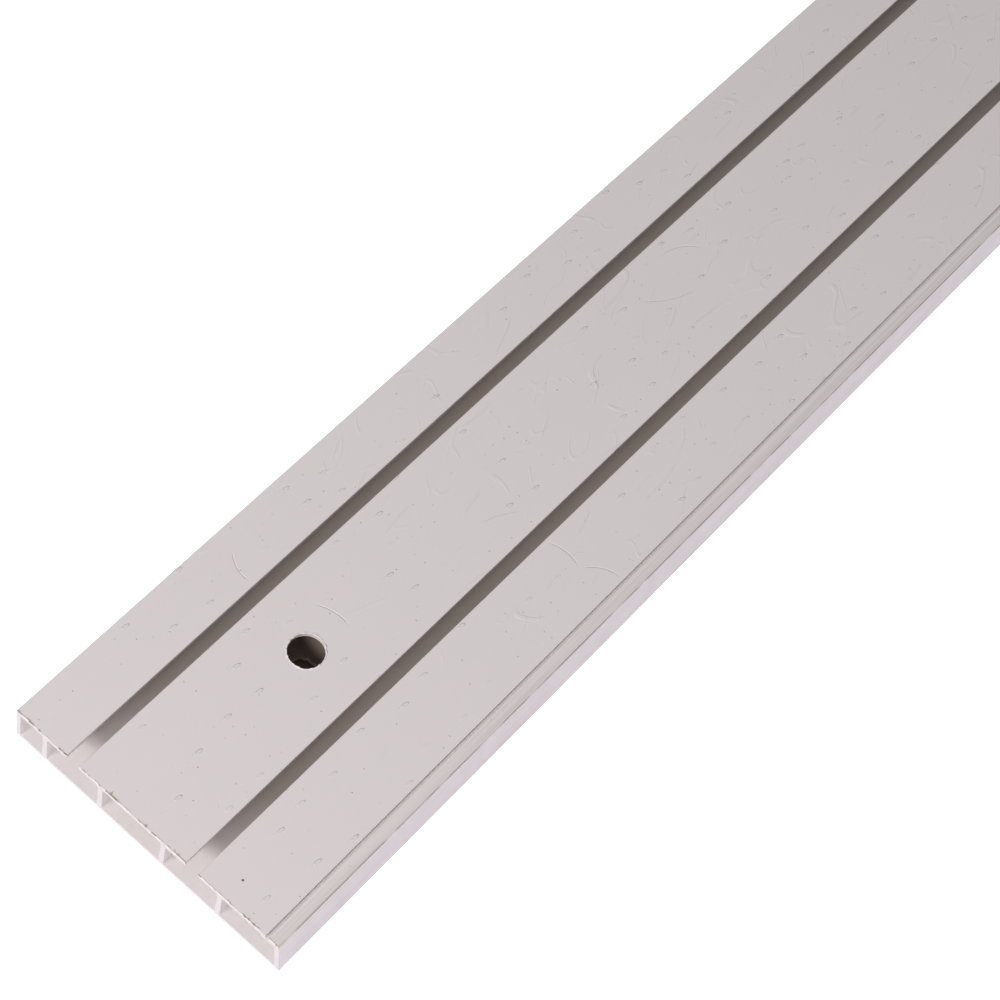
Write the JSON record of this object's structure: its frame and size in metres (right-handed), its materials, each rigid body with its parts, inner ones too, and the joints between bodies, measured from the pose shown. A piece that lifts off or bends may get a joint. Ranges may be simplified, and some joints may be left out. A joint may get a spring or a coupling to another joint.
{
  "type": "curtain track",
  "caption": "White plastic ceiling curtain track: flat hollow extrusion with slotted glider channels, a grooved edge for a fascia and drilled screw holes.",
  "frame": {"origin": "centre of the ceiling face, at the middle of the track's length", "axes": "+X along the track, +Z out of the slotted plate, +Y towards the plain edge"},
  "size_m": [1.2, 0.0898, 0.0136],
  "materials": {
    "white_pvc": "satin, lightly scuffed, saw-cut ends"
  },
  "bodies": {
    "root": {"track": "white_pvc"}
  },
  "joints": []
}
